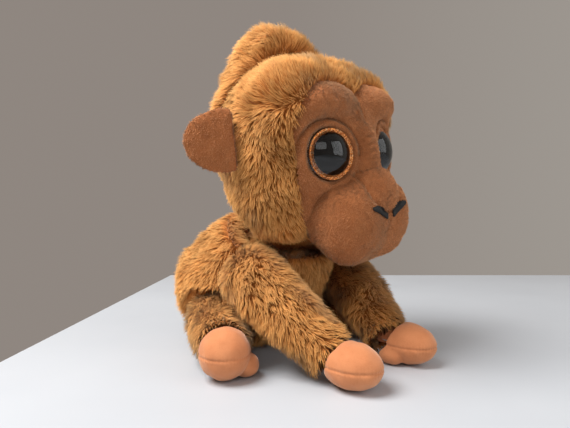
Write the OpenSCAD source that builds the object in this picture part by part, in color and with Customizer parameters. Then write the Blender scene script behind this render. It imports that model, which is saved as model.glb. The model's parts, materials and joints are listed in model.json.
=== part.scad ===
// Seated stuffed ape toy: a big head with a top-knot, two eyes of moulded
// plastic, long arms resting on their hands and short splayed legs.
// Millimetres, +Z up. The toy faces -Y and sits on Z = 0, with the origin
// under the middle of its outline. Its own left side is +X.
// Fur covers are drawn to the surface that the combed pile makes.

/* [Head] */
// Width of the skull across the ears' roots
head_w = 132; // [124:1:136]
// Depth of the skull from face to nape
head_d = 124; // [118:1:128]
// Height of the skull without the top-knot
head_h = 132; // [126:1:136]
// Height of the skull's centre above the table
head_z = 149; // [148:1:154]
// Lean of the head towards the toy's right shoulder, degrees
head_tilt = 8; // [0:1:8]
// Radius of the rounded top-knot
knot_r = 33; // [28:1:36]

/* [Face] */
// Width of the muzzle
muzzle_w = 78; // [74:1:82]
// Height of the muzzle
muzzle_h = 64; // [60:1:66]
// How far the muzzle reaches in front of the skull's centre
muzzle_reach = 75; // [73:1:78]
// Diameter of each eye
eye_d = 32; // [28:1:33]
// Distance between the eyes' centres
eye_gap = 58; // [56:1:62]
// Height of each eye's dome
eye_dome = 8; // [6:0.5:9]
// How far each eye looks outward, degrees
eye_splay = 18; // [12:1:22]

/* [Ears] */
// Height of an ear
ear_h = 41; // [38:1:50]
// How far an ear stands out from its root
ear_reach = 28; // [24:1:34]
// Thickness of an ear
ear_t = 7; // [6:0.5:8]
// Angle between an ear and the fore-and-aft line, degrees
ear_open = 55; // [45:1:60]

/* [Body] */
// Width of the seat
seat_w = 132; // [124:1:136]
// Depth of the seat
seat_d = 114; // [108:1:118]
// Height of the seat's bulge
seat_h = 100; // [94:1:104]
// Radius of the chest
chest_r = 40; // [36:1:42]

/* [Arms] */
// Distance between the shoulders' centres
shoulder_gap = 92; // [90:1:98]
// Radius of the upper arm
arm_r = 22; // [20:0.5:23]
// Radius of the sleeve at the wrist
wrist_r = 16; // [15:0.5:17]
// Length of a hand
hand_l = 40; // [34:1:40]
// Width of a hand
hand_w = 31; // [28:1:33]
// Thickness of a hand
hand_h = 27; // [25:1:28]

/* [Legs] */
// Radius of the thigh
thigh_r = 23; // [22:0.5:23.5]
// Radius of the leg at the ankle
ankle_r = 17.5; // [16:0.5:18]
// Length of a foot
foot_l = 36; // [34:1:38]
// Width and height of a foot
foot_w = 32; // [30:1:33]

/* [Fabric] */
// Thickness of the fur fabric with its pile pressed flat
pile = 5; // [4:0.5:6]
// Thickness of the short-pile fabric
felt = 2; // [1.5:0.5:3]
// Clearance between parts that move past each other
gap = 0.6; // [0.5:0.1:0.8]

/* [Hidden] */
$soft = 22;                      // facets of a blended soft form
head_c = [0, -9, head_z];        // centre of the skull
neck = [0, 1, 90];               // pivot of the neck
neck_r = 20;                     // ball inside the neck
knot_c = [0, 20, 60];            // top-knot, from the skull's centre
muzzle_c = [0, -34, -46];        // back of the muzzle
lip_c = [muzzle_w / 2 - 23, 25 - muzzle_reach, -50]; // each of its front lobes
eye_c = [eye_gap / 2, -51, -7];
ear_c = [head_w / 2 + ear_t / 2 + 2 * gap, -3, 8]; // middle of the ear's hinge line
seat_c = [0, 43, 47];
chest_c = [0, 8, 88];
shoulder = [shoulder_gap / 2, -8, 58];
elbow = [40, -32, 39];
wrist = [32, -58, 19];
hand_c = [32, -77, hand_h / 2];
hip = [45, 33, 25];
ankle = [67, -1, 18.5];
foot_c = [74.5, -13, foot_w / 2];
pupil_r = eye_d * 0.405;
plug_r = 9;                      // ball of filling inside each cuff
neck_w = 4;                      // waist between that ball and the hand or foot
FUR = "peru";
SUEDE = "sandybrown";
FELT = "sienna";
FILL = "ivory";

// ---- helpers
module at(p, r) translate(p) sphere(r = r, $fn = $soft);
module egg(p, r, fn = 0) translate(p) scale(r) sphere(r = 1, $fn = fn > 0 ? fn : $soft);
module pair() for (s = [-1, 1]) scale([s, 1, 1]) children();
module side(s) if (s > 0) children(); else mirror([1, 0, 0]) children();
module half(s) translate([s > 0 ? 0 : -200, -200, -200]) cube([200, 400, 600]);
// Turns +Z onto direction v.
module aim(v) rotate([0, acos(v[2] / norm(v)), atan2(v[1], v[0])]) children();

// ---- whole soft forms; grow moves a form's surface in or out
module head_at() translate(head_c) rotate([0, -head_tilt, 0]) children();

module head_form(grow = 0, $soft = 24) hull() {
  egg([0, 0, 0], [head_w / 2 + grow, head_d / 2 + grow, head_h / 2 + grow]);
  for (s = [-1, 1]) {
    egg([27 * s, -24, 22], [37 + grow, 31 + grow, 34 + grow]);
    egg([26 * s, -6, -31], [36 + grow, 36 + grow, 34 + grow]);
  }
}

module knot_form(grow = 0) hull() {
  at(knot_c, knot_r + grow);
  egg([0, 26, 24], [52 + grow, 39 + grow, 42 + grow]);
}

module muzzle_form(grow = 0) hull() {
  egg(muzzle_c, [muzzle_w / 2 - 2 + grow, 22 + grow, muzzle_h / 2 - 3 + grow]);
  for (s = [-1, 1]) egg([s * lip_c[0], lip_c[1], lip_c[2]], [23 + grow, 25 + grow, muzzle_h / 2 + grow]);
}

module torso_form(grow = 0) intersection() {
  hull() {
    egg(seat_c, [seat_w / 2 + grow, seat_d / 2 + grow, seat_h / 2 + grow]);
    at(chest_c, chest_r + grow);
  }
  translate([-100, -100, grow < 0 ? -grow : 0]) cube([200, 300, 200]);
}

module arm_form(grow = 0) hull() {
  at(shoulder, arm_r + grow);
  at(elbow, arm_r - 1.5 + grow);
  at(wrist, wrist_r + grow);
}

module leg_form(grow = 0) hull() {
  at(hip, thigh_r + grow);
  at(ankle, ankle_r + grow);
}

// Room that the nodding head and the swinging limbs need in the torso.
module torso_room(more = 0, fn = 24) {
  for (turn = [-18, 0, 18]) translate(neck) rotate([0, 0, turn]) translate(-neck) head_at() {
    head_form(5.5 + more, fn);
    muzzle_form(5.5 + more);
  }
  neck_cup();
  pair() {
    arm_form(gap + 1 + more);
    for (turn = [-3, 4.5, 12]) translate(hip) rotate([0, 0, turn]) translate(-hip) leg_form(gap + 0.6 + more);
  }
}

// ---- torso
module torso_cover(s) color(FUR) difference() {
  torso_form();
  torso_form(-pile);
  half(-s);
  torso_room();
}
module torso_right() torso_cover(-1);
module torso_left() torso_cover(1);
module pellets(grow = 0) intersection() {
  egg([0, 44, pile + 10], [24 + grow, 22 + grow, 14 + grow], 24);
  translate([-40, 0, pile - 3 * grow]) cube([80, 120, 60]);
}
module torso_stuffing() color(FILL) difference() {
  torso_form(-pile);
  torso_room(2, 14, $soft = 14);
  pellets(0.4);
}
module seat_pellets() color("lightgray") pellets();
module neck_core() color(FILL) translate(neck) sphere(r = neck_r, $fn = 36);

// ---- head
// Outline of the face panel from the front: two brow lobes over a wide cheek.
module mask() rotate([90, 0, 0]) linear_extrude(height = 120) {
  for (s = [-1, 1]) hull() {
    translate([21 * s, 9]) circle(r = 29, $fn = 40);
    translate([18 * s, -34]) circle(r = 24, $fn = 40);
  }
}
module eye_place(s) side(s) translate(eye_c) rotate([90, 0, eye_splay]) children();
module eye_pockets() for (s = [-1, 1]) eye_place(s) {
  translate([0, 0, -3]) cylinder(r = eye_d / 2 + 0.2, h = 30, $fn = 48);
  translate([0, 0, -16]) cylinder(r = 2.7, h = 14, $fn = 32);
}
module neck_cup() translate(neck) sphere(r = neck_r + gap, $fn = 36);
module head_cover(s) color(FUR) difference() {
  head_at() difference() {
    head_form();
    head_form(-pile);
    half(-s);
    mask();
  }
  neck_cup();
}
module head_side_right() head_cover(-1);
module head_side_left() head_cover(1);
module head_knot() color(FUR) head_at() difference() {
  knot_form();
  knot_form(-pile);
  head_form();
}
module knot_stuffing() color(FILL) head_at() difference() {
  knot_form(-pile);
  head_form();
}
module face_panel() color(FELT) difference() {
  head_at() difference() {
    intersection() {
      head_form(-felt);
      mask();
    }
    head_form(-pile);
    eye_pockets();
  }
  neck_cup();
}
// What the head's own panels take up, beside and behind the muzzle.
module head_panels() {
  head_form(-felt);
  difference() {
    head_form();
    mask();
  }
}
module muzzle() color(FELT) difference() {
  head_at() difference() {
    muzzle_form();
    muzzle_form(-felt - 0.13);
    head_panels();
    eye_pockets();
  }
  neck_cup();
  nostril(-1);
  nostril(1);
}
module muzzle_stuffing() color(FILL) difference() {
  head_at() difference() {
    muzzle_form(-felt - 0.13);
    head_panels();
    eye_pockets();
  }
  neck_cup();
}
module head_stuffing() color(FILL) difference() {
  head_at() difference() {
    head_form(-pile);
    eye_pockets();
    for (s = [-1, 1]) eye_place(s) translate([0, 0, -12]) cylinder(r = 9.2, h = 3, $fn = 40);
  }
  neck_cup();
}
module nostril(s) color("black") head_at()
  translate([9 * s, -muzzle_reach + 0.7, -45]) rotate([0, 24 * s, 0])
    scale([5.5, 1.3, 2]) sphere(r = 1, $fn = 24);
module nostril_right() nostril(-1);
module nostril_left() nostril(1);

// ---- eyes: a clear dome over a glitter ring and a black pupil, on a shank
// pushed through the face and held by a washer.
module eye_lens(s) color([0.9, 0.9, 0.9, 0.4]) head_at() eye_place(s) {
  ball_r = (eye_d * eye_d / 4 + eye_dome * eye_dome) / (2 * eye_dome);
  translate([0, 0, -0.6]) intersection() {
    translate([0, 0, eye_dome - ball_r]) sphere(r = ball_r, $fn = 72);
    cylinder(r = eye_d / 2, h = eye_dome + 1, $fn = 72);
  }
}
module eye_iris(s) color("chocolate") head_at() eye_place(s) translate([0, 0, -1.6]) difference() {
  cylinder(r = eye_d / 2, h = 1, $fn = 72);
  translate([0, 0, -1]) cylinder(r = pupil_r, h = 3, $fn = 72);
}
module eye_pupil(s) color("black") head_at() eye_place(s) translate([0, 0, -1.6]) cylinder(r = pupil_r, h = 1, $fn = 72);
module eye_shank(s) color("black") head_at() eye_place(s) {
  translate([0, 0, -2.6]) cylinder(r = eye_d / 2 - 0.6, h = 1, $fn = 48);
  translate([0, 0, -15]) cylinder(r = 2.5, h = 12.4, $fn = 32);
}
module eye_washer(s) color("whitesmoke") head_at() eye_place(s) translate([0, 0, -11.5]) difference() {
  cylinder(r = 9, h = 2, $fn = 40);
  translate([0, 0, -1]) cylinder(r = 2.6, h = 4, $fn = 32);
}
module eye_lens_right() eye_lens(-1);
module eye_lens_left() eye_lens(1);
module eye_iris_right() eye_iris(-1);
module eye_iris_left() eye_iris(1);
module eye_pupil_right() eye_pupil(-1);
module eye_pupil_left() eye_pupil(1);
module eye_shank_right() eye_shank(-1);
module eye_shank_left() eye_shank(1);
module eye_washer_right() eye_washer(-1);
module eye_washer_left() eye_washer(1);

// ---- ears: two panels back to back, on a rounded root
module ear(s, front) color(FELT) head_at() side(s) translate(ear_c) rotate([0, 0, 90 - ear_open]) difference() {
  scale([ear_reach, ear_t / 2, ear_h / 2]) rotate([90, 0, 0]) sphere(r = 1, $fn = 48);
  translate([-60, -20, -50]) cube([60 - ear_t / 2, 40, 100]);
  translate([-60, front ? 0 : -20, -50]) cube([120, 20, 100]);
}
module ear_front_right() ear(-1, true);
module ear_back_right() ear(-1, false);
module ear_front_left() ear(1, true);
module ear_back_left() ear(1, false);

// The sewn edge round a hand or foot, as a raised line.
module seam_ring(w, l) difference() {
  scale([w / 2 + 0.55, l / 2 + 0.55, 1]) cylinder(r = 1, h = 0.9, center = true, $fn = 72);
  scale([w / 2 + 0.03, l / 2 + 0.03, 1]) cylinder(r = 1, h = 2, center = true, $fn = 72);
}

// ---- arms: a fur sleeve open at the wrist, and its filling
// A sleeve's mouth, and everything beyond the sleeve's end.
module mouth(joint, upper, r, end) translate(joint) aim(joint - upper) {
  translate([0, 0, end]) cylinder(r = 60, h = 60, $fn = 24);
  cylinder(r = r - pile - 0.5, h = 60, $fn = 32);
}
module arm_sleeve(s) color(FUR) side(s) difference() {
  arm_form();
  arm_form(-pile);
  mouth(wrist, elbow, wrist_r, wrist_r * 0.55);
}
module arm_stuffing(s) color(FILL) side(s) difference() {
  arm_form(-pile);
  mouth(wrist, elbow, wrist_r, 0);
  translate(wrist) sphere(r = plug_r + gap, $fn = 40);
}
module arm_sleeve_right() arm_sleeve(-1);
module arm_sleeve_left() arm_sleeve(1);
module arm_stuffing_right() arm_stuffing(-1);
module arm_stuffing_left() arm_stuffing(1);

module hand_form(grow = 0) scale([hand_w / 2 + grow, hand_l / 2 + grow, hand_h / 2 + grow]) sphere(r = 1, $fn = 40);
// A hand or foot is cupped round its cuff, so that it can bend up there.
module cuff_room(joint, upper, r, upper_r, axis, bend) translate(joint) {
  sphere(r = r + gap, $fn = 56);
  for (a = [0, bend]) rotate(a = a, v = axis) aim(upper - joint)
    cylinder(r1 = r + gap, r2 = upper_r + gap, h = norm(upper - joint), $fn = 48);
}
module wrist_cup() cuff_room(wrist, elbow, wrist_r + 0.3, arm_r - 1.5, [1, 0, 0], 15);
module hand_panel(s, up) color(SUEDE) side(s) difference() {
  translate(hand_c) difference() {
    hand_form();
    hand_form(-felt);
    translate([-40, -40, up ? -80 : 0]) cube([80, 80, 80]);
  }
  wrist_cup();
}
module hand_stuffing(s) color(FILL) side(s) {
  difference() {
    translate(hand_c) hand_form(-felt);
    wrist_cup();
  }
  translate(wrist) sphere(r = plug_r, $fn = 40);
  translate(wrist) aim((hand_c - wrist) / norm(hand_c - wrist) + (wrist - elbow) / norm(wrist - elbow)) cylinder(r = neck_w, h = wrist_r + 4, $fn = 32);
}
module thumb(s) color(SUEDE) side(s) difference() {
  egg(hand_c + [-11, 6, -7], [7, 9, 6.2], 32);
  translate(hand_c) hand_form();
  wrist_cup();
}
module hand_seam(s) color("saddlebrown") side(s) difference() {
  translate(hand_c) seam_ring(hand_w, hand_l);
  wrist_cup();
}
module hand_back_right() hand_panel(-1, true);
module hand_back_left() hand_panel(1, true);
module hand_palm_right() hand_panel(-1, false);
module hand_palm_left() hand_panel(1, false);
module hand_stuffing_right() hand_stuffing(-1);
module hand_stuffing_left() hand_stuffing(1);
module thumb_right() thumb(-1);
module thumb_left() thumb(1);
module hand_seam_right() hand_seam(-1);
module hand_seam_left() hand_seam(1);

// ---- legs
module leg_sleeve(s) color(FUR) side(s) difference() {
  leg_form();
  leg_form(-pile);
  mouth(ankle, hip, ankle_r, ankle_r * 0.55);
}
module leg_stuffing(s) color(FILL) side(s) difference() {
  leg_form(-pile);
  mouth(ankle, hip, ankle_r, 0);
  translate(ankle) sphere(r = plug_r + gap, $fn = 40);
}
module leg_sleeve_right() leg_sleeve(-1);
module leg_sleeve_left() leg_sleeve(1);
module leg_stuffing_right() leg_stuffing(-1);
module leg_stuffing_left() leg_stuffing(1);

module foot_at(s) side(s) translate(foot_c) rotate([0, 0, atan2(ankle[1] - hip[1], ankle[0] - hip[0]) + 90]) children();
module foot_form(grow = 0) scale([foot_w / 2 + grow, foot_l / 2 + grow, foot_w / 2 + grow]) sphere(r = 1, $fn = 40);
module ankle_cup(s) side(s) cuff_room(ankle, hip, ankle_r, thigh_r, cross([0, 0, 1], ankle - hip), -18);
module foot_panel(s, up) color(SUEDE) difference() {
  foot_at(s) difference() {
    foot_form();
    foot_form(-felt);
    translate([-40, -40, up ? -80 : 0]) cube([80, 80, 80]);
  }
  ankle_cup(s);
}
module foot_stuffing(s) color(FILL) {
  difference() {
    foot_at(s) foot_form(-felt);
    ankle_cup(s);
  }
  side(s) translate(ankle) {
    sphere(r = plug_r, $fn = 40);
    aim(foot_c - ankle) cylinder(r = neck_w, h = ankle_r + 4, $fn = 32);
  }
}
module toe(s) color(SUEDE) difference() {
  foot_at(s) difference() {
    egg([-13.5, 1, -8.4], [8, 9.5, 7.5], 32);
    foot_form();
  }
  ankle_cup(s);
}
module foot_seam(s) color("saddlebrown") difference() {
  foot_at(s) seam_ring(foot_w, foot_l);
  ankle_cup(s);
}
module foot_top_right() foot_panel(-1, true);
module foot_top_left() foot_panel(1, true);
module foot_sole_right() foot_panel(-1, false);
module foot_sole_left() foot_panel(1, false);
module foot_stuffing_right() foot_stuffing(-1);
module foot_stuffing_left() foot_stuffing(1);
module toe_right() toe(-1);
module toe_left() toe(1);
module foot_seam_right() foot_seam(-1);
module foot_seam_left() foot_seam(1);

torso_right();
torso_left();
torso_stuffing();
seat_pellets();
neck_core();
head_side_right();
head_side_left();
head_knot();
knot_stuffing();
face_panel();
muzzle();
muzzle_stuffing();
head_stuffing();
nostril_right();
nostril_left();
eye_lens_right();
eye_iris_right();
eye_pupil_right();
eye_shank_right();
eye_washer_right();
eye_lens_left();
eye_iris_left();
eye_pupil_left();
eye_shank_left();
eye_washer_left();
ear_front_right();
ear_back_right();
ear_front_left();
ear_back_left();
arm_sleeve_right();
arm_stuffing_right();
arm_sleeve_left();
arm_stuffing_left();
hand_back_right();
hand_palm_right();
hand_stuffing_right();
thumb_right();
hand_seam_right();
hand_back_left();
hand_palm_left();
hand_stuffing_left();
thumb_left();
hand_seam_left();
leg_sleeve_right();
leg_stuffing_right();
leg_sleeve_left();
leg_stuffing_left();
foot_top_right();
foot_sole_right();
foot_stuffing_right();
toe_right();
foot_seam_right();
foot_top_left();
foot_sole_left();
foot_stuffing_left();
toe_left();
foot_seam_left();
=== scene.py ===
"""Looks of a seated stuffed ape toy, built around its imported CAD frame. Metres, toy facing -Y."""
import json
import math

import bmesh
import bpy
import numpy as np
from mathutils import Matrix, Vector
from mathutils.bvhtree import BVHTree
from mathutils.kdtree import KDTree


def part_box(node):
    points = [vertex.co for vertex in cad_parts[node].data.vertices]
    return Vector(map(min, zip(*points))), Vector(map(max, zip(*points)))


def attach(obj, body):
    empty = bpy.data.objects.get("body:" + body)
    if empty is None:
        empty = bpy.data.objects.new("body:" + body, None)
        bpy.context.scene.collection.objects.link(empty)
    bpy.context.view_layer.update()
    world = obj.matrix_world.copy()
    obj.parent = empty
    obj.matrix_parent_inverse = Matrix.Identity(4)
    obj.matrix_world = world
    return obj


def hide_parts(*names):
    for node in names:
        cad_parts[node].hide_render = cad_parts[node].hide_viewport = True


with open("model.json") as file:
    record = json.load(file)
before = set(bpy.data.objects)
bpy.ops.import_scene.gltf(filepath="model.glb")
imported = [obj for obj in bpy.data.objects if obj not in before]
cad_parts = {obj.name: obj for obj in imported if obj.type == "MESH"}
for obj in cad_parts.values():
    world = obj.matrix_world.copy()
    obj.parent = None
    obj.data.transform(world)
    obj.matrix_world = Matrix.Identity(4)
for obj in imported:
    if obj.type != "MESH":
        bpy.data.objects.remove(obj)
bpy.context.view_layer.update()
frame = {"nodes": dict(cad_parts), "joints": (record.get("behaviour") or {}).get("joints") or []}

MM = 0.001
SKIN = 0.0040          # the fur's backing lies this far under the CAD surface, and the hair fills the rest
SIDES = (("right", -1), ("left", 1))


# ---------------------------------------------------------------- numbers
def unit(v):
    return v / np.maximum(np.linalg.norm(v, axis=-1, keepdims=True), 1e-12)


def step(a, b, x):
    """0 below a, 1 above b, and smooth between them; a may be the larger."""
    t = np.clip((x - a) / (b - a), 0, 1)
    return t * t * (3 - 2 * t)


def bump(x, width):
    return np.exp(-((x / width) ** 2))


def wobble(p, size, seed, waves=14):
    """Smooth random values about -1 to 1 that change over that size, in the points' unit."""
    r = np.random.default_rng(seed)
    d = unit(r.normal(size=(waves, 3))) * (2 * math.pi / size) * r.uniform(0.6, 1.5, (waves, 1))
    return np.sin(p @ d.T + r.uniform(0, 6.283, waves)).sum(1) / math.sqrt(waves) * 0.8


def centre(*nodes):
    boxes = [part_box(n) for n in nodes]
    lo = np.min([b[0] for b in boxes], axis=0)
    hi = np.max([b[1] for b in boxes], axis=0)
    return (lo + hi) / 2


def pivot(name):
    """Where a joint turns, in metres."""
    j = next(j for j in frame["joints"] if j["name"] == name)
    return np.array(j["pos_m"], float)


# ---------------------------------------------------------------- meshes
def ball(level):
    """Directions and triangles of an icosphere."""
    bm = bmesh.new()
    bmesh.ops.create_icosphere(bm, subdivisions=level, radius=1)
    v = np.array([x.co for x in bm.verts])
    f = np.array([[x.index for x in t.verts] for t in bm.faces])
    bm.free()
    return unit(v), f


def relax(x, faces, times, keep=0.5):
    """Evens out values or points over a triangle mesh."""
    e = np.concatenate([faces[:, [0, 1]], faces[:, [1, 2]], faces[:, [2, 0]]])
    i, j = np.concatenate([e[:, 0], e[:, 1]]), np.concatenate([e[:, 1], e[:, 0]])
    n = np.maximum(np.bincount(i, minlength=len(x)), 1)
    x = x.reshape(len(x), -1)
    for _ in range(times):
        s = np.stack([np.bincount(i, x[j, k], len(x)) for k in range(x.shape[1])], 1)
        x = keep * x + (1 - keep) * s / n[:, None]
    return x


def normals(v, faces):
    f = faces[:, :3]
    n = np.cross(v[f[:, 1]] - v[f[:, 0]], v[f[:, 2]] - v[f[:, 0]])
    out = np.zeros_like(v)
    for k in range(faces.shape[1]):
        for a in range(3):
            out[:, a] += np.bincount(faces[:, k], n[:, a], len(v))
    return unit(out)


def used(v, faces, *extra):
    """Only the vertices that the faces use."""
    keep = np.unique(faces)
    new = np.full(len(v), -1)
    new[keep] = np.arange(len(keep))
    return (v[keep], new[faces], *[e[keep] for e in extra])


def mesh(name, v, polys, mats, body, which=None, stands_for=(), attributes=None):
    """A smooth-shaded piece on a body. polys is a list of index arrays, mats its materials."""
    me = bpy.data.meshes.new(name)
    size = np.concatenate([np.full(len(p), p.shape[1]) for p in polys])
    loops = np.concatenate([p.ravel() for p in polys]).astype(np.int32)
    me.vertices.add(len(v))
    me.vertices.foreach_set("co", np.asarray(v, np.float32).ravel())
    me.loops.add(len(loops))
    me.loops.foreach_set("vertex_index", loops)
    me.polygons.add(len(size))
    me.polygons.foreach_set("loop_start", np.concatenate([[0], np.cumsum(size)[:-1]]).astype(np.int32))
    for m in mats:
        me.materials.append(m)
    if which is not None:
        me.polygons.foreach_set("material_index", which.astype(np.int32))
    for key, value in (attributes or {}).items():
        a = me.attributes.new(key, "FLOAT", "POINT")
        a.data.foreach_set("value", np.asarray(value, np.float32))
    me.update(calc_edges=True)
    me.shade_smooth()
    ob = bpy.data.objects.new(name, me)
    bpy.context.scene.collection.objects.link(ob)
    if body:
        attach(ob, body)
    if stands_for:
        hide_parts(*stands_for)
    return ob


def tree_of(nodes):
    v, f, owner, base = [], [], [], 0
    for k, n in enumerate(nodes):
        me = frame["nodes"][n].data
        me.calc_loop_triangles()
        t = np.zeros(len(me.loop_triangles) * 3, np.int32)
        me.loop_triangles.foreach_get("vertices", t)
        co = np.zeros(len(me.vertices) * 3)
        me.vertices.foreach_get("co", co)
        v.append(co.reshape(-1, 3))
        f.append(t.reshape(-1, 3) + base)
        owner += [k] * len(f[-1])
        base += len(v[-1])
    v, f = np.concatenate(v), np.concatenate(f)
    return BVHTree.FromPolygons(v.tolist(), f.tolist()), np.array(owner)


def shell(nodes, covers, origin, level=6, smooth=5, inset=0.0):
    """Outer surface of CAD nodes as a closed mesh round origin: points, triangles, and each point's cover.
    The first `covers` nodes count as cover."""
    d, f = ball(level)
    tree, owner = tree_of(nodes)
    o, reach = Vector(origin), 0.3
    t, c = np.full(len(d), np.nan), np.zeros(len(d))
    for k, u in enumerate(d.tolist()):
        u = Vector(u)
        hit = tree.ray_cast(o + u * reach, -u, reach)
        if hit[0] is not None:
            t[k] = reach - hit[3]
            c[k] = owner[hit[2]] < covers
    t[np.isnan(t)] = np.nanmin(t)
    t = relax(t, f, smooth)[:, 0]
    v = np.array(origin) + d * t[:, None]
    v = relax(v, f, 2)
    if inset:
        v = v - normals(v, f) * inset
    return v, f, relax(c, f, 2)[:, 0]


def filling(name, v, f, origin, body, share, stands_for):
    """Closed filling inside a stuffed skin that is open to view from origin, at that share of its size."""
    o = np.array(origin)
    return mesh(name, o + (v - o) * share, [f], [COTTON], body, stands_for=stands_for)


# ---------------------------------------------------------------- materials
def material(name, rough=0.8, **values):
    m = bpy.data.materials.new(name)
    m.use_nodes = True
    b = m.node_tree.nodes["Principled BSDF"]
    b.inputs["Roughness"].default_value = rough
    for k, v in values.items():
        b.inputs[k.replace("_", " ")].default_value = v
    return m


def add(m, kind, inputs=None, **props):
    n = m.node_tree.nodes.new("ShaderNode" + kind)
    for k, v in props.items():
        setattr(n, k, v)
    for k, v in (inputs or {}).items():
        if isinstance(v, bpy.types.NodeSocket):
            m.node_tree.links.new(v, n.inputs[k])
        else:
            n.inputs[k].default_value = v
    return n


def noise(m, scale, detail=3.0, rough=0.55, stretch=None):
    """Noise in the object's own space, scale in waves to the metre."""
    co = add(m, "TexCoord").outputs["Object"]
    if stretch:
        co = add(m, "Mapping", {"Vector": co, "Scale": stretch}).outputs["Vector"]
    return add(m, "TexNoise", {"Vector": co, "Scale": scale, "Detail": detail,
                               "Roughness": rough}).outputs["Fac"]


def ramp(m, value, stops):
    n = add(m, "ValToRGB", {"Fac": value})
    e = n.color_ramp.elements
    while len(e) < len(stops):
        e.new(0.5)
    for x, (at, colour) in zip(e, stops):
        x.position, x.color = at, (*colour, 1)
    return n.outputs["Color"]


def maths(m, op, a, b=0.0, c=0.0):
    return add(m, "Math", {0: a, 1: b, 2: c}, operation=op).outputs[0]


def tint(m, colour, factor):
    """Colour times a grey factor."""
    n = add(m, "VectorMath", {0: colour, "Scale": factor}, operation="SCALE")
    return n.outputs[0]


def wire(m, socket, value):
    b = m.node_tree.nodes["Principled BSDF"]
    m.node_tree.links.new(value, b.inputs[socket])


def relief(m, height, distance, strength=1.0, socket="Normal"):
    n = add(m, "Bump", {"Height": height, "Distance": distance, "Strength": strength})
    wire(m, socket, n.outputs["Normal"])


def sheen(weight, rough, tone):
    return {"Sheen_Weight": weight, "Sheen_Roughness": rough, "Sheen_Tint": (*tone, 1)}


def fur_material(name, shaded_root, mid, tip, light=1.0):
    m = material(name, 0.78, Specular_IOR_Level=0.25, **sheen(0.25, 0.5, (1.0, 0.8, 0.55)))
    along = add(m, "Attribute", attribute_name="tip").outputs["Fac"]
    lock = add(m, "Attribute", attribute_name="lock").outputs["Fac"]
    hair = add(m, "Attribute", attribute_name="hair").outputs["Fac"]
    # Painted light along each hair: the root colour is painted shade deep in the pile, and the tip colour is
    # a painted glow of light through the hair ends.
    colour = ramp(m, along, [(0.0, shaded_root), (0.45, mid), (1.0, tip)])
    patch = noise(m, 45, 3)
    grey = maths(m, "MULTIPLY_ADD", lock, 0.22, 0.70)
    grey = maths(m, "MULTIPLY_ADD", hair, 0.22, grey)
    grey = maths(m, "MULTIPLY_ADD", patch, 0.4, grey)
    wire(m, "Base Color", tint(m, colour, maths(m, "MULTIPLY", grey, light)))
    return m


def cloth_material(name, low, high, fine, grain, blotch, depth, rough=0.9, sheen_weight=0.35,
                   tone=(1, 0.75, 0.55)):
    """Napped fabric: blotches where the nap lies differently, and a fine grain."""
    m = material(name, rough, Specular_IOR_Level=0.2, **sheen(sheen_weight, 0.4, tone))
    a = noise(m, blotch, 4, 0.6)
    b = noise(m, grain, 3, 0.6)
    mixed = maths(m, "MULTIPLY_ADD", b, fine, maths(m, "MULTIPLY", a, 1 - fine))
    wire(m, "Base Color", ramp(m, mixed, [(0.3, low), (0.7, high)]))
    relief(m, b, depth)
    return m


# Both hair materials carry painted shade at the hair roots and a painted glow at the tips.
FUR = fur_material("long_fur", (0.36, 0.105, 0.018), (0.52, 0.185, 0.038), (0.80, 0.42, 0.135))
FUR_BASE = cloth_material("fur_backing", (0.28, 0.085, 0.016), (0.40, 0.14, 0.03), 0.5, 900, 60, 0.0006)
PILE = fur_material("face_pile", (0.26, 0.085, 0.026), (0.42, 0.155, 0.055), (0.56, 0.25, 0.11))
FELT = cloth_material("face_plush", (0.30, 0.095, 0.03), (0.46, 0.17, 0.06), 0.55, 1500, 130, 0.0004)
SUEDE = cloth_material("orange_suede", (0.52, 0.185, 0.075), (0.64, 0.26, 0.115), 0.4, 2200, 90, 0.00012,
                       0.82, 0.5, (1, 0.8, 0.65))
COTTON = cloth_material("fibre_filling", (0.62, 0.60, 0.55), (0.86, 0.84, 0.80), 0.5, 500, 70, 0.001)
BEADS = cloth_material("filling_pellets", (0.55, 0.55, 0.56), (0.80, 0.80, 0.82), 0.4, 350, 200, 0.0008,
                       0.4, 0.0)


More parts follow.
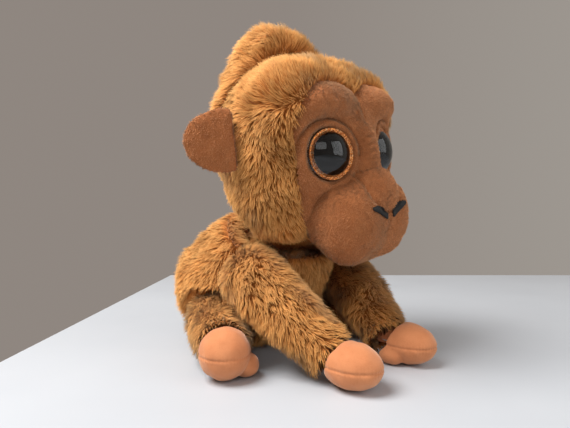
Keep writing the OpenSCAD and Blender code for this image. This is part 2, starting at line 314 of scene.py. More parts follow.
def eye_materials():
    clear = material("eye_clear_plastic", 0.01, Transmission_Weight=1.0, IOR=1.46)
    wire(clear, "Base Color", ramp(clear, noise(clear, 80, 2),
                                   [(0.3, (0.985, 0.985, 0.98)), (0.7, (1, 1, 1))]))
    black = material("eye_black", 0.6, Specular_IOR_Level=0.0)
    wire(black, "Base Color", ramp(black, noise(black, 300, 2),
                                   [(0.3, (0.002, 0.002, 0.002)), (0.7, (0.006, 0.005, 0.005))]))
    iris = material("eye_glitter_painted_glow", 0.34, Metallic=0.6)
    co = add(iris, "TexCoord").outputs["Object"]
    cell = add(iris, "TexVoronoi", {"Vector": co, "Scale": 1700.0})
    pick = add(iris, "SeparateColor", {"Color": cell.outputs["Color"]})
    # The palest cells are partly painted glints; the tilted normals below give real glints as well.
    colour = ramp(iris, pick.outputs[0], [(0.0, (0.10, 0.02, 0.004)), (0.45, (0.42, 0.11, 0.02)),
                                          (0.8, (0.85, 0.30, 0.06)), (1.0, (1.0, 0.75, 0.4))])
    wire(iris, "Base Color", colour)
    # Painted glow: the ring gives off a little light in its own colour, though it is no lamp, so it stays
    # bright under the glass dome.
    wire(iris, "Emission Color", colour)
    iris.node_tree.nodes["Principled BSDF"].inputs["Emission Strength"].default_value = 0.03
    tilt = add(iris, "VectorMath", {0: cell.outputs["Color"], 1: (0.5, 0.5, 0.5)},
               operation="SUBTRACT").outputs[0]
    tilt = add(iris, "VectorMath", {0: tilt, "Scale": 0.9}, operation="SCALE").outputs[0]
    base = add(iris, "NewGeometry").outputs["Normal"]
    facet = add(iris, "VectorMath", {0: base, 1: tilt}, operation="ADD").outputs[0]
    wire(iris, "Normal", add(iris, "VectorMath", {0: facet}, operation="NORMALIZE").outputs[0])
    back = material("eye_backing_plastic", 0.45)
    wire(back, "Base Color", ramp(back, noise(back, 400, 2),
                                  [(0.3, (0.010, 0.009, 0.008)), (0.7, (0.020, 0.018, 0.016))]))
    return clear, black, iris, back


EYE_CLEAR, EYE_BLACK, EYE_IRIS, EYE_BACK = eye_materials()
NOSE = material("satin_stitch", 0.5, Specular_IOR_Level=0.3)
wire(NOSE, "Base Color", ramp(NOSE, noise(NOSE, 900, 2),
                              [(0.3, (0.004, 0.004, 0.004)), (0.7, (0.016, 0.014, 0.013))]))

# ---------------------------------------------------------------- fur
STRAND_QUADS = np.array([[k, (k + 1) % 3, 3 + (k + 1) % 3, 3 + k] for k in range(3)])
STRAND_TRIS = np.array([[3 + k, 3 + (k + 1) % 3, 6] for k in range(3)])
HAIRS_A_PIECE = 22000
PILE_SHADING = 0.92    # share of a hair's shading that follows the pile and not the hair


def scatter(v, faces, density, where, seed):
    """Random points and normals on a surface, density to the square centimetre times where(points)."""
    r = np.random.default_rng(seed)
    a, b, c = (v[faces[:, k]] for k in range(3))
    area = np.linalg.norm(np.cross(b - a, c - a), axis=1) / 2
    want = area * 1e4 * density * where((a + b + c) / 3)
    total = int(min(HAIRS_A_PIECE, want.sum()))
    pick = r.choice(len(faces), total, p=want / want.sum())
    s, t = r.random(total), r.random(total)
    flip = s + t > 1
    s[flip], t[flip] = 1 - s[flip], 1 - t[flip]
    w = np.stack([1 - s - t, s, t], 1)[:, :, None]
    vn = normals(v, faces)
    return (v[faces[pick]] * w).sum(1), unit((vn[faces[pick]] * w).sum(1)), r


def strands(name, p, n, mid, end, width, body, mat, lock, r, soft=PILE_SHADING):
    """Hairs as three-sided tapering spikes from p by mid to end."""
    total = len(p)
    axis = unit(end - p)
    u = unit(np.cross(axis, n) + 1e-9)
    w = np.cross(axis, u)
    turn = r.uniform(0, 2 * math.pi, total)[:, None]
    co = np.zeros((total, 7, 3))
    shade = np.zeros((total, 7, 3))
    up = unit(n - (n * axis).sum(1, keepdims=True) * axis + 0.35 * n)
    width = np.broadcast_to(np.asarray(width, float), (total,))[:, None]
    for k in range(3):
        a = turn + k * 2 * math.pi / 3
        out = u * np.cos(a) + w * np.sin(a)
        co[:, k] = p + out * width * 0.5
        co[:, 3 + k] = mid + out * width * 0.38
        shade[:, k] = shade[:, 3 + k] = unit(out * (1 - soft) + up * soft)
    co[:, 6], shade[:, 6] = end, up
    base = (np.arange(total) * 7)[:, None, None]
    quads = (STRAND_QUADS[None] + base).reshape(-1, 4)
    tris = (STRAND_TRIS[None] + base).reshape(-1, 3)
    hair = r.random(total)
    ob = mesh(name, co.reshape(-1, 3), [quads, tris], [mat], body, attributes={
        "tip": np.tile([0, 0, 0, 0.5, 0.5, 0.5, 1], total),
        "lock": np.repeat(lock, 7), "hair": np.repeat(hair, 7)})
    side = math.ceil(math.sqrt(total))
    corner = np.stack([np.arange(total) % side, np.arange(total) // side], 1)[:, None, :]
    q = np.array([[[k, 0], [k + 1, 0], [k + 1, 1.4], [k, 1.4]] for k in range(3)]).reshape(1, 12, 2) / 3
    t = np.array([[[k, 1.4], [k + 1, 1.4], [k + 0.5, 2.8]] for k in range(3)]).reshape(1, 9, 2) / 3
    uv = np.concatenate([((corner + 0.06 + q * 0.88) / side).reshape(-1, 2),
                         ((corner + 0.06 + t * 0.88) / side).reshape(-1, 2)])
    layer = ob.data.uv_layers.new(name="OFBake")
    layer.data.foreach_set("uv", uv.astype(np.float32).ravel())
    ob.data.normals_split_custom_set_from_vertices(shade.reshape(-1, 3).tolist())
    return ob


def fur(name, surface, body, comb, where, density=120, length=0.0088, width=0.0006, lean=(24, 52),
        lock_size=0.0028, pull=0.2, seed=1, mat=None):
    """Combed pile in locks: hairs lean along comb(points, normals), and draw together in each lock."""
    v, f = surface
    p, n, r = scatter(v, f, density, where, seed)
    total = len(p)
    c = comb(p, n)
    c = unit(c - (c * n).sum(1, keepdims=True) * n)
    locks = max(8, int(total / (density * (lock_size * 100) ** 2)))
    pick = r.choice(total, locks, replace=False)
    tree = KDTree(locks)
    for k, q in enumerate(p[pick].tolist()):
        tree.insert(q, k)
    tree.balance()
    owner = np.array([tree.find(q)[1] for q in p.tolist()])
    yaw = r.normal(0, 9, locks)[owner] + r.normal(0, 12, total)
    yaw = (yaw + 22 * wobble(p, 0.02, seed + 5)) * math.pi / 180
    tall = r.uniform(0.86, 1.1, locks)[owner] * r.uniform(0.8, 1.12, total)
    lift = (r.normal(0, 3, locks)[owner] + r.normal(0, 6, total) + 9 * wobble(p, 0.02, seed + 6))
    c = unit(c * np.cos(yaw)[:, None] + np.cross(n, c) * np.sin(yaw)[:, None])
    reach = (length(p) if callable(length) else length) * tall
    a0 = np.radians(np.clip(lean[0] + lift, 5, 80))[:, None]
    a1 = np.radians(np.clip(lean[1] + lift, 10, 86))[:, None]
    first = n * np.cos(a0) + c * np.sin(a0)
    second = unit(n * np.cos(a1) + c * np.sin(a1) - np.array([0, 0, 0.12]))
    mid = p + first * reach[:, None] * 0.45
    end = mid + second * reach[:, None] * 0.55
    lead = pick[owner]
    mid = mid + (mid[lead] - mid) * pull * 0.35
    end = end + (end[lead] - end) * pull * r.uniform(0.7, 1.15, total)[:, None]
    end[:, 2], mid[:, 2] = np.maximum(end[:, 2], 0.0008), np.maximum(mid[:, 2], 0.0008)
    lock = r.random(locks)[owner]
    return strands(name, p - n * 0.0006, n, mid, end, width, body, mat or FUR, lock, r)


def short_pile(name, surface, body, comb, where, density, seed, length=0.0014, width=0.00042):
    v, f = surface
    p, n, r = scatter(v, f, density, where, seed)
    c = comb(p, n)
    c = unit(c - (c * n).sum(1, keepdims=True) * n + r.normal(0, 0.35, p.shape))
    tall = (length * r.uniform(0.7, 1.2, len(p)))[:, None]
    end = p + (n * 0.62 + c * 0.55) * tall
    mid = p + (n * 0.7 + c * 0.4) * tall * 0.5
    lock = np.clip(0.5 + 0.5 * wobble(p, 0.004, seed), 0, 1)
    return strands(name, p - n * 0.0003, n, mid, end, width, body, PILE, lock, r, 0.94)


# ---------------------------------------------------------------- head frame
# The head leans to one side, so its own axes come from the two eyes.
eye_l, eye_r = centre("eye_pupil_left"), centre("eye_pupil_right")
EX = unit(eye_l - eye_r)
EY = np.array([0.0, 1.0, 0.0])
EZ = np.cross(EX, EY)
HEAD = np.stack([EX, EY, EZ], 1)
head_c = (eye_l + eye_r) / 2 - HEAD @ np.array([0, -52.0, -7.0]) * MM


def to_head(p):
    """Row frame in metres to the head's own frame in millimetres."""
    return (p - head_c) @ HEAD / MM


def from_head(q):
    return q * MM @ HEAD.T + head_c


def mask_edge(q):
    """Distance in front view to the outline of the face, negative inside; q in the head's frame."""
    out = np.full(len(q), 1e9)
    for s in (-1, 1):
        a, b = np.array([21.0 * s, 9.0]), np.array([18.0 * s, -34.0])
        p = q[:, [0, 2]]
        t = np.clip(((p - a) @ (b - a)) / ((b - a) @ (b - a)), 0, 1)
        out = np.minimum(out, np.linalg.norm(p - a - t[:, None] * (b - a), axis=1) - (29 - 5 * t))
    return out


def blended(balls, k):
    """Signed distance to ellipsoids melted together over about k."""
    parts = [(np.array(c, float), np.array(r, float)) for c, r in balls]

    def f(p):
        total = 0
        for c, r in parts:
            q = p - c
            k0 = np.linalg.norm(q / r, axis=1)
            k1 = np.maximum(np.linalg.norm(q / r / r, axis=1), 1e-6)
            total = total + np.exp(-np.clip(k0 * (k0 - 1) / k1, -60 * k, 60 * k) / k)
        return -k * np.log(total)
    return f


def melt(a, b, k):
    """Smooth smaller of two distances."""
    h = np.clip(0.5 + 0.5 * (b - a) / k, 0, 1)
    return b + (a - b) * h - k * h * (1 - h)


# ---------------------------------------------------------------- face
SPLAY = math.radians(18)
EYE_R, EYE_DOME = 16.0, 8.0
EYE_AXES = {}            # for each side: the disc's middle, its two axes and the way it faces
for s in (-1, 1):
    EYE_AXES[s] = (np.array([29.0 * s, -51.0, -7.0]),
                   np.array([math.cos(SPLAY) * s, math.sin(SPLAY), 0.0]),
                   np.array([0.0, 0.0, 1.0]),
                   np.array([math.sin(SPLAY) * s, -math.cos(SPLAY), 0.0]))


def sockets(q):
    """Draws the fabric in to each eye's rim, with a lid fold over it."""
    q = q.copy()
    for c, ea, eb, n in EYE_AXES.values():
        d = q - c
        a, b, h = d @ ea, d @ eb, d @ n
        r = np.hypot(a, b)
        upper = step(-7, 5, b)
        rim = -5 + 5.0 * step(15.7, 17.2, r) + 1.1 * step(16.8, 18.8, r)
        lid = 1.2 * bump(r - 19.2, 1.7) * upper + 0.5 * bump(r - 19, 1.6) * (1 - upper)
        fold = -2.4 * bump(r - 22.2 - 0.03 * a, 0.95) * step(-6, 3, b)
        w = 1 - step(18.5, 29, r)
        w = w * (h > -22)
        new = h * (1 - w) + (rim + lid) * w
        new = new + fold * (r < 27) * (h > -22)
        q += ((new - h) * (r < 29))[:, None] * n
    return q


FACE_BASE = blended([((0, 0, 0), (64, 60, 64)), ((27, -24, 22), (35, 29, 32)), ((-27, -24, 22), (35, 29, 32)),
                     ((26, -6, -31), (34, 34, 32)), ((-26, -6, -31), (34, 34, 32))], 4.0)
BROWS = blended([((22.5, -43, 23.5), (26.5, 17.5, 15.5)), ((-22.5, -43, 23.5), (26.5, 17.5, 15.5))], 1.2)
BRIDGE = blended([((0, -56, -12), (11, 9.5, 22))], 1.0)


def face_field(p):
    return melt(melt(FACE_BASE(p), BROWS(p), 2.5), BRIDGE(p), 5)


def build_face():
    pitch = 0.75
    xs, zs = np.arange(-53, 53.01, pitch), np.arange(-62, 41.01, pitch)
    gx, gz = np.meshgrid(xs, zs)
    p = np.stack([gx.ravel(), np.full(gx.size, -95.0), gz.ravel()], 1)
    for _ in range(70):
        p[:, 1] = np.minimum(p[:, 1] + np.clip(face_field(p), 0, None) * 0.85, 0)
    edge = mask_edge(p)
    p[:, 1] += 3.6 * step(-4.5, 1.5, edge) ** 2          # the panel's edge turns in at its seam
    x, z = p[:, 0], p[:, 2]
    ripple = np.sin((z + 0.25 * np.abs(x)) * 2 * math.pi / 4.6)
    ripple = ripple * bump(x, 8) * step(-17, -11, z) * step(9, 3, z)
    p[:, 1] += -0.55 * ripple
    p[:, 1] += 1.6 * bump(x - 0.4 * np.sin(z / 5), 1.3) * step(12, 20, z) * step(-70, -40, -p[:, 1])
    p = sockets(p)
    p[:, 1] += 0.22 * wobble(p, 9, 3)
    w = len(xs)
    i = (np.arange(len(zs) - 1)[:, None] * w + np.arange(w - 1)[None]).ravel()
    f = np.stack([i, i + 1, i + w + 1, i + w], 1)
    f = f[(edge[f] < 1.6).all(1)]
    r_eye = np.min([np.hypot((p - c) @ ea, (p - c) @ eb) for c, ea, eb, _ in EYE_AXES.values()], axis=0)
    f = f[(r_eye[f] > 13).any(1)]
    v, f, edge = used(p, f, edge)
    return from_head(v), f


def nose_panel(q):
    """Distance in front view to the raised panel of the nose, negative inside."""
    a, b = np.array([0.0, -24.0]), np.array([0.0, -31.0])
    p = q[:, [0, 2]]
    t = np.clip(((p - a) @ (b - a)) / ((b - a) @ (b - a)), 0, 1)
    return np.linalg.norm(p - a - t[:, None] * (b - a), axis=1) - (13.2 + 1.6 * t)


def crease(q, points, width):
    """Nearness in front view to a line through points, from 0 to 1."""
    d = np.full(len(q), 1e9)
    for a, b in zip(points[:-1], points[1:]):
        a, b = np.array(a, float), np.array(b, float)
        p = q[:, [0, 2]]
        t = np.clip(((p - a) @ (b - a)) / ((b - a) @ (b - a)), 0, 1)
        d = np.minimum(d, np.linalg.norm(p - a - t[:, None] * (b - a), axis=1))
    return bump(d, width)


MUZZLE_C = np.array([0, -37.0, -47.0])
MUZZLE = blended([((0, -34, -46), (35.5, 20.5, 27.5)), ((16, -49, -49.5), (21, 23.5, 29.5)),
                  ((-16, -49, -49.5), (21, 23.5, 29.5)),
                  ((0, -46, -50), (24, 25, 30))], 2.2)
NOSE_LOBE = blended([((0, -56, -33), (16, 18, 15))], 1.0)


def muzzle_field(p):
    return melt(MUZZLE(p), NOSE_LOBE(p), 4)


def build_muzzle():
    d, f = ball(7)
    lo, hi = np.zeros(len(d)), np.full(len(d), 70.0)
    o = MUZZLE_C + np.array([0, 4, 0])
    for _ in range(22):
        t = (lo + hi) / 2
        inside = muzzle_field(o + d * t[:, None]) < 0
        lo, hi = np.where(inside, t, lo), np.where(inside, hi, t)
    q = o + d * lo[:, None]
    n = normals(q, f)
    front = step(-30, -42, q[:, 1])
    panel = nose_panel(q)
    up = 1.5 * step(2.0, -2.5, panel) * front
    up -= 1.5 * bump(panel - 0.8, 1.1) * front * step(-10, -22, q[:, 2])
    up -= 1.0 * crease(q, [(0, -46), (0.4, -52)], 1.3) * front
    up -= 0.9 * crease(q, [(-3.5, -58.5), (3.5, -57.4)], 0.9) * front
    up -= 0.9 * crease(q, [(-24, -66), (-12, -71), (0, -72.5), (12, -71), (24, -66)], 1.6) * front
    up += 0.9 * crease(q, [(3, -46.5), (0, -47.8), (-3, -46.5)], 1.6) * front
    up += 0.3 * wobble(q, 14, 5) + 0.12 * wobble(q, 5, 6)
    q = q + n * up[:, None]
    q = sockets(q)
    inside = face_field(q) < -5
    f = f[~inside[f].all(1)]
    v, f = used(q, f)
    return from_head(v), f


def muzzle_filling():
    d, f = ball(5)
    lo, hi = np.zeros(len(d)), np.full(len(d), 70.0)
    o = MUZZLE_C + np.array([0, 4, 0])
    for _ in range(20):
        t = (lo + hi) / 2
        inside = muzzle_field(o + d * t[:, None]) < -6
        lo, hi = np.where(inside, t, lo), np.where(inside, hi, t)
    mesh("muzzle_filling", from_head(o + d * lo[:, None]), [f], [COTTON], "head",
                   stands_for=["muzzle_stuffing"])


face = build_face()
muzzle_filling()
muzzle = build_muzzle()
face_tris = np.concatenate([face[1][:, [0, 1, 2]], face[1][:, [0, 2, 3]]])
mesh("face_plush", face[0], [face[1]], [FELT], "head", stands_for=["face_panel"])
mesh("muzzle_plush", muzzle[0], [muzzle[1]], [FELT], "head", stands_for=["muzzle"])


def comb_face(p, n):
    q = to_head(p)
    return HEAD @ np.array([0, 0, -1.0]) + HEAD @ np.array([1.0, 0, 0]) * np.sign(q[:, :1]) * 0.5


def off_eyes(q):
    r = np.min([np.hypot((q - c) @ ea, (q - c) @ eb) for c, ea, eb, _ in EYE_AXES.values()], axis=0)
    return (r > 17.3) | (q[:, 1] > -25)


def on_face(p):
    q = to_head(p)
    return off_eyes(q) & (muzzle_field(q) > -0.5)


def on_muzzle(p):
    q = to_head(p)
    return off_eyes(q) & (face_field(q) > -0.5)


short_pile("face_pile", (face[0], face_tris), "head", comb_face, on_face, 260, 11)
short_pile("muzzle_pile", muzzle, "head", comb_face, on_muzzle, 230, 12)


# ---------------------------------------------------------------- eyes
def build_eye(side, s):
    c, ea, eb, n = EYE_AXES[s]
    ball_r = (EYE_R ** 2 + EYE_DOME ** 2) / (2 * EYE_DOME)
    rs = np.concatenate([np.linspace(0, EYE_R - 0.2, 26), [EYE_R, EYE_R, EYE_R - 0.6, EYE_R * 0.5]])
    hs = np.sqrt(np.maximum(ball_r ** 2 - rs ** 2, 0)) + EYE_DOME - ball_r - 0.6
    hs[-4:] = [-0.35, -0.5, -0.58, -0.58]
    turns = 112
    a = np.arange(turns) * 2 * math.pi / turns
    v = [c + n * hs[0]]
    for r, h in zip(rs[1:], hs[1:]):
        v += list(c + ea * (r * np.cos(a))[:, None] + eb * (r * np.sin(a))[:, None] + n * h)
    v.append(c - n * 0.58)
    v = np.array(v)
    k = np.arange(turns)
    last, rings = len(v) - 1, len(rs) - 1
    fan = np.stack([np.zeros(turns, int), 1 + k, 1 + (k + 1) % turns], 1)
    floor = np.stack([np.full(turns, last), 1 + (rings - 1) * turns + (k + 1) % turns,
                      1 + (rings - 1) * turns + k], 1)
    quads = np.concatenate([np.stack([1 + j * turns + k, 1 + (j + 1) * turns + k,
                                      1 + (j + 1) * turns + (k + 1) % turns,
                                      1 + j * turns + (k + 1) % turns], 1) for j in range(rings - 1)])
    if s < 0:
        fan, floor, quads = fan[:, ::-1], floor[:, ::-1], quads[:, ::-1]
    return mesh("eye_dome_" + side, from_head(v), [fan, floor, quads], [EYE_CLEAR], "head",
                None, ["eye_lens_" + side])


for side, s in SIDES:
    build_eye(side, s)


# ---------------------------------------------------------------- nostrils: rows of black thread
def tube(points, radius, sides=6):
    """Round thread through points, radius for each one."""
    p = np.asarray(points, float)
    d = unit(np.gradient(p, axis=0))
    u = unit(np.cross(d, np.array([0.31, 0.12, 0.94])))
    w = np.cross(d, u)
    a = np.arange(sides) * 2 * math.pi / sides
    out = u[:, None] * np.cos(a)[None, :, None] + w[:, None] * np.sin(a)[None, :, None]
    v = (p[:, None] + out * np.asarray(radius)[:, None, None]).reshape(-1, 3)
    k = np.arange(sides)
    f = [np.stack([j * sides + k, j * sides + (k + 1) % sides, (j + 1) * sides + (k + 1) % sides,
                   (j + 1) * sides + k], 1) for j in range(len(p) - 1)]
    return v, np.concatenate(f)


def threads(name, lines, radius, mat, body, stands_for=()):
    v, f, base = [], [], 0
    for line in lines:
        taper = np.full(len(line), radius)
        taper[[0, -1]] = radius * 0.25
        a, b = tube(line, taper)
        v.append(a)
        f.append(b + base)
        base += len(a)
    return mesh(name, np.concatenate(v), [np.concatenate(f)], [mat], body, stands_for=stands_for)


muzzle_tree = BVHTree.FromPolygons(muzzle[0].tolist(), muzzle[1].tolist())


def on_surface(tree, p, direction, lift):
    """Points moved along direction on to a surface, and lifted back off it."""
    out = []
    d = Vector(direction).normalized()
    for q in p:
        hit = tree.ray_cast(Vector(q) - d * 0.06, d, 0.15)
        out.append(np.array(hit[0] - d * lift) if hit[0] is not None else np.array(q))
    return np.array(out)


def build_nostril(side, s):
    r = np.random.default_rng(40 + s)
    lines = []
    for k in range(23):
        t = k / 22
        mx, mz = s * (18.5 - 15 * t), -42.8 - 6.2 * t + 1.3 * math.sin(math.pi * t)
        half = 0.6 + 2.1 * math.sin(math.pi * min(1, (t * 0.75 + 0.05))) ** 0.8
        slope = -0.25 * s
        zz = np.linspace(-half, half, 6) + r.uniform(-0.15, 0.15)
        q = np.stack([mx + slope * zz, np.full(6, -75.0), mz + zz], 1)
        lines.append(on_surface(muzzle_tree, from_head(q), HEAD @ np.array([0, 1.0, 0]), 0.0010))
    threads("nostril_stitch_" + side, lines, 0.00062, NOSE, "head", ["nostril_" + side])


for side, s in SIDES:
    build_nostril(side, s)

# ---------------------------------------------------------------- head covers
DOWN = np.array([0, 0, -1.0])


def swirl(p, c, n, size, degrees, seed):
    a = np.radians(wobble(p, size, seed) * degrees)[:, None]
    return c * np.cos(a) + np.cross(n, c) * np.sin(a)


def comb_head(p, n):
    q = to_head(p)
    y, z = q[:, 1], q[:, 2]
    front = step(25, -25, y)[:, None]
    top = (step(-6, 50, z) * step(30, -25, y))[:, None]
    forward = HEAD @ np.array([0, -0.25, -1.0])
    down = HEAD @ np.array([0, 0.15, -1.0])
    back = HEAD @ np.array([0, 0.55, 0.8])
    c = down * (1 - front) + forward * front
    c = c * (1 - top) + back * top
    return swirl(p, c, n, 0.035, 38, 21)


def fur_length(p):
    edge = mask_edge(to_head(p))
    return 0.0088 * (0.72 + 0.28 * step(2, 14, edge))


head_nodes = ["head_side_right", "head_side_left", "face_panel", "head_stuffing"]
hv, hf, _ = shell(head_nodes, 2, head_c, 6, 6, SKIN)
filling("head_filling", hv, hf, head_c, "head", 0.86, ["head_stuffing"])
hq = to_head(hv)
hv = from_head(hq + normals(hq, hf) * (0.9 * wobble(hq, 24, 8))[:, None])
hidden = (mask_edge(hq) < -4) & (hq[:, 1] < -22) & (hq[:, 2] > -40)
hf = hf[~hidden[hf].all(1)]


def halved(f, frame_x):
    """Left and right halves of a mesh's triangles, by the x of its points."""
    mid = frame_x[f].mean(1)
    return {"left": f[mid > 0], "right": f[mid <= 0]}


def off_face(p):
    q = to_head(p)
    behind = q[:, 1] > 0
    clear = (mask_edge(q) > 0.4) | behind | (q[:, 2] < -50)
    clear = clear & (behind | (muzzle_field(q) > 0.5))
    neck = (q[:, 2] < -46) & (np.hypot(q[:, 0], q[:, 1] - 6) < 12)
    knot = np.linalg.norm((q - np.array([0, 26, 24])) / np.array([46, 33, 36]), axis=1) < 1
    ears = (np.abs(q[:, 0]) > 58) & (np.abs(q[:, 1] + 3) < 3.5) & (np.abs(q[:, 2] - 8) < 14)
    return clear & ~neck & ~knot & ~ears


for side, part in halved(hf, hq[:, 0]).items():
    v, f = used(hv, part)
    mesh("head_cover_" + side, v, [f], [FUR_BASE], "head",
                   stands_for=["head_side_" + side])
    fur("head_fur_" + side, (v, f), "head", comb_head, off_face, 125, fur_length, seed=50 + len(side))

knot_o = from_head(np.array([[0, 22.0, 50.0]]))[0]
kv, kf, kc = shell(["head_knot", "knot_stuffing"], 1, knot_o, 6, 5, SKIN)
filling("knot_filling", kv, kf, knot_o, "head", 0.82, ["knot_stuffing"])
kv = kv + normals(kv, kf) * (MM * 1.1 * wobble(kv / MM, 22, 9))[:, None]


def comb_knot(p, n):
    q = to_head(p)
    c = HEAD @ np.array([0, 0.9, -0.25]) * np.ones((len(p), 1))
    c = c + HEAD @ np.array([0, -1.0, 1.2]) * step(10, -14, q[:, 1])[:, None] * 1.2
    return swirl(p, c, n, 0.03, 40, 22)


def on_knot(p):
    q = to_head(p)
    r = np.array([66, 62, 66]) - 3.0
    return (np.linalg.norm(q / r, axis=1) > 1).astype(float)


mesh("knot_cover", kv, [kf], [FUR_BASE], "head", stands_for=["head_knot"])
fur("knot_fur", (kv, kf), "head", comb_knot, on_knot, 125, 0.0098, lean=(28, 52), seed=60)

# ---------------------------------------------------------------- torso
torso_o = centre("torso_right", "torso_left") + np.array([0, -0.008, 0.002])
tv, tf, tc = shell(["torso_right", "torso_left", "torso_stuffing"], 2, torso_o, 6, 4, SKIN)
filling("torso_filling", tv, tf, torso_o, "torso", 0.86, ["torso_stuffing"])
tv = tv + normals(tv, tf) * (MM * 1.0 * wobble(tv / MM, 26, 10) * np.clip(tv[:, 2] / 0.02, 0, 1))[:, None]
floor_z = float(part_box("torso_right")[0].z)
tv[:, 2] = np.maximum(tv[:, 2], floor_z + 0.0012)


def comb_torso(p, n):
    c = DOWN + np.array([0, 0.35, 0]) * step(0.0, 0.06, p[:, 1])[:, None]
    return swirl(p, c, n, 0.04, 34, 23)


cover_tree = KDTree(len(tv))
for k, q in enumerate(tv.tolist()):
    cover_tree.insert(q, k)
cover_tree.balance()


def on_torso(p):
    near = np.array([tc[cover_tree.find(q)[1]] for q in p.tolist()])
    collar = np.linalg.norm(p - pivot("neck_nod"), axis=1)
    round_neck = (collar < 0.036) & (collar > 0.014)
    return np.maximum(step(0.02, 0.2, near), round_neck) * (p[:, 2] > floor_z + 0.003)


for side, part in halved(tf, tv[:, 0]).items():
    v, f = used(tv, part)
    mesh("torso_cover_" + side, v, [f], [FUR_BASE], "torso", stands_for=["torso_" + side])
    fur("torso_fur_" + side, (v, f), "torso", comb_torso, on_torso, 122, 0.0092, lean=(24, 54),
        seed=70 + len(side))


# ---------------------------------------------------------------- arms and legs
CUFF_FRINGE = 0.05     # how much longer the hair grows at a cuff


def limb(kind, side, start, end, length):
    nodes = [kind + "_sleeve_" + side, kind + "_stuffing_" + side]
    o = (start + end) / 2
    v, f, c = shell(nodes, 1, o, 6, 4, SKIN)
    filling(kind + "_filling_" + side, v, f, o, kind + "_" + side, 0.8, [nodes[1]])
    v = v + normals(v, f) * (MM * 0.8 * wobble(v / MM, 20, 30 + len(kind + side)))[:, None]
    v[:, 2] = np.maximum(v[:, 2], 0.0012)
    axis = unit(end - start)
    span = np.linalg.norm(end - start)

    def comb(p, n):
        c = np.broadcast_to(axis, p.shape) + DOWN * 0.25
        return swirl(p, c, n, 0.03, 32, 24 + len(side))

    def where(p):
        d = p - end
        ahead = d @ axis
        mouth = (ahead > 0.0045) & (np.linalg.norm(d - ahead[:, None] * axis, axis=1) < 0.0085)
        return (~mouth & (p[:, 2] > 0.0015)).astype(float)

    def reach(p):
        t = (p - start) @ axis / span
        return length * (1 + CUFF_FRINGE * step(0.82, 1.05, t))

    mesh(kind + "_cover_" + side, v, [f], [FUR_BASE], kind + "_" + side,
                   stands_for=[nodes[0]])
    fur(kind + "_fur_" + side, (v, f), kind + "_" + side, comb, where, 125, reach, lean=(24, 56),
        seed=80 + len(kind + side))


for side, s in SIDES:
    limb("arm", side, pivot("shoulder_" + side), pivot("wrist_" + side), 0.0086)
    limb("leg", side, pivot("hip_" + side), pivot("ankle_" + side), 0.0084)


# ---------------------------------------------------------------- hands and feet
def paw(kind, side, parts, digit):
    names = [n + "_" + side for n in parts]
    o = centre(*names)
    v, f, _ = shell([*names, digit + "_" + side, kind + "_stuffing_" + side], 3, o, 6, 3, 0.0)
    seam = o[2]
    filling(kind + "_filling_" + side, v, f, o, kind + "_" + side, 0.86,
                      [kind + "_stuffing_" + side])
    n = normals(v, f)
    groove = -0.0006 * bump((v[:, 2] - seam) / MM, 0.75)
    around = np.arctan2(v[:, 1] - o[1], v[:, 0] - o[0])
    pucker = 0.00012 * np.sin(around * 46) * bump((v[:, 2] - seam) / MM, 3.0)
    v = v + n * (groove + pucker + 0.00022 * wobble(v / MM, 9, 33))[:, None]
    v[:, 2] = np.maximum(v[:, 2], 0.0)
    mesh(kind + "_suede_" + side, v, [f], [SUEDE], kind + "_" + side,
                   stands_for=[*names, digit + "_" + side, kind + "_seam_" + side])


for side, s in SIDES:
    paw("hand", side, ["hand_back", "hand_palm"], "thumb")
    paw("foot", side, ["foot_top", "foot_sole"], "toe")


# ---------------------------------------------------------------- ears
def ear(side):
    names = ["ear_front_" + side, "ear_back_" + side]
    o = centre(*names)
    v, f, _ = shell(names, 2, o, 6, 4, 0.0)
    v = v + normals(v, f) * (MM * 0.25 * wobble(v / MM, 9, 35))[:, None]
    mesh("ear_plush_" + side, v, [f], [FELT], "ear_" + side, stands_for=names)
    short_pile("ear_pile_" + side, (v, f), "ear_" + side, lambda p, n: DOWN + n * 0,
               lambda p: np.ones(len(p)), 200, 90 + len(side))


for side, s in SIDES:
    ear(side)

# ---------------------------------------------------------------- CAD nodes that stay: filling and eye backs
KEPT = (("neck", FUR_BASE), ("shank", EYE_BACK), ("washer", EYE_BACK), ("pupil", EYE_BLACK),
        ("iris", EYE_IRIS), ("pellets", BEADS))
for name, ob in frame["nodes"].items():
    if ob.hide_render:
        continue
    mat = next((m for word, m in KEPT if word in name), COTTON)
    ob.data.materials.clear()
    ob.data.materials.append(mat)

# ---------------------------------------------------------------- floor, light and camera
CAMERA = np.array([-0.24268, -0.23361, 0.0992])
SENSOR, LENS, PITCH = 36.0, 28.2316, math.radians(0.385)
AHEAD, ACROSS = np.array([1.0, 1.0, 0]) / math.sqrt(2), np.array([1.0, -1.0, 0]) / math.sqrt(2)


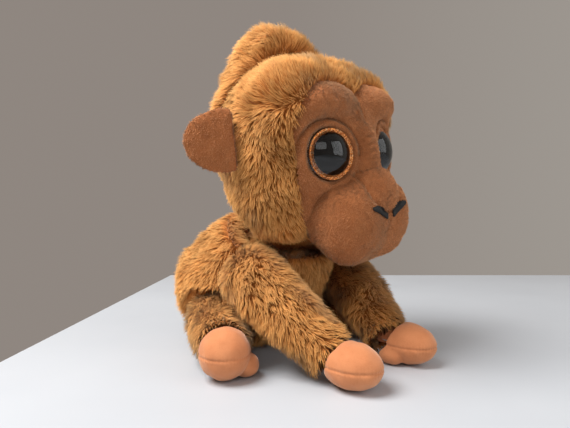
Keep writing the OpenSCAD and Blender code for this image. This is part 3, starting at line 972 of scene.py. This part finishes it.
def table_top():
    """A pale table whose far edge and one side edge lie behind the toy."""
    far, near, left, right = 0.7645, -1.2, -0.196, 1.6
    base = CAMERA * np.array([1, 1, 0])
    flat = [base + AHEAD * far + ACROSS * left, base + AHEAD * far + ACROSS * right,
            base + AHEAD * near + ACROSS * right, base + AHEAD * near + ACROSS * left]
    bm = bmesh.new()
    top = [bm.verts.new(p) for p in flat]
    low = [bm.verts.new(p - np.array([0, 0, 0.03])) for p in flat]
    bm.faces.new(top[::-1])
    bm.faces.new(low)
    for k in range(4):
        bm.faces.new([top[k], top[(k + 1) % 4], low[(k + 1) % 4], low[k]])
    bmesh.ops.recalc_face_normals(bm, faces=bm.faces)
    bmesh.ops.bevel(bm, geom=list(bm.edges), offset=0.0015, segments=3, affect="EDGES")
    me = bpy.data.meshes.new("floor")
    bm.to_mesh(me)
    bm.free()
    m = material("pale_floor", 0.42, Specular_IOR_Level=0.4)
    wire(m, "Base Color", ramp(m, noise(m, 6, 3), [(0.3, (0.50, 0.53, 0.575)), (0.7, (0.54, 0.57, 0.615))]))
    me.materials.append(m)
    ob = bpy.data.objects.new("floor", me)
    bpy.context.scene.collection.objects.link(ob)


def area_light(name, place, target, size, power, colour):
    data = bpy.data.lights.new(name, "AREA")
    data.shape, data.size, data.size_y = "RECTANGLE", size[0], size[1]
    data.energy, data.color = power, colour
    ob = bpy.data.objects.new(name, data)
    ob.location = place
    ob.rotation_euler = (Vector(target) - Vector(place)).to_track_quat("-Z", "Y").to_euler()
    bpy.context.scene.collection.objects.link(ob)


def surroundings():
    world = bpy.data.worlds.new("studio")
    bpy.context.scene.world = world
    world.use_nodes = True
    nt = world.node_tree
    back = nt.nodes["Background"]
    co = nt.nodes.new("ShaderNodeTexCoord")
    turn = nt.nodes.new("ShaderNodeMapping")
    turn.inputs["Rotation"].default_value = (0, 0, math.radians(45))
    grade = nt.nodes.new("ShaderNodeTexGradient")
    tone = nt.nodes.new("ShaderNodeValToRGB")
    tone.color_ramp.elements[0].color = (0.275, 0.24, 0.215, 1)
    tone.color_ramp.elements[1].color = (0.39, 0.365, 0.33, 1)
    nt.links.new(co.outputs["Generated"], turn.inputs["Vector"])
    nt.links.new(turn.outputs["Vector"], grade.inputs["Vector"])
    nt.links.new(grade.outputs["Color"], tone.inputs["Fac"])
    nt.links.new(tone.outputs["Color"], back.inputs["Color"])
    back.inputs["Strength"].default_value = 1.0


table_top()
surroundings()
middle = (0.0, 0.0, 0.12)
area_light("key", (-0.62, 0.22, 1.05), middle, (0.7, 0.7), 23, (1.0, 0.98, 0.95))
area_light("fill", (0.45, -1.1, 0.55), middle, (0.9, 0.9), 4.5, (0.95, 0.98, 1.0))
area_light("front", (-0.75, -0.85, 0.75), middle, (0.8, 0.6), 2.6, (1.0, 1.0, 1.0))

cam = bpy.data.objects.new("camera", bpy.data.cameras.new("camera"))
cam.data.sensor_width, cam.data.lens = SENSOR, LENS
cam.data.clip_start, cam.data.clip_end = 0.01, 20
cam.location = CAMERA
look = Vector(AHEAD) * math.cos(PITCH) + Vector((0, 0, math.sin(PITCH)))
cam.rotation_euler = look.to_track_quat("-Z", "Y").to_euler()
bpy.context.scene.collection.objects.link(cam)
bpy.context.scene.camera = cam
bpy.context.scene.view_settings.view_transform = "Standard"

bpy.context.view_layer.update()
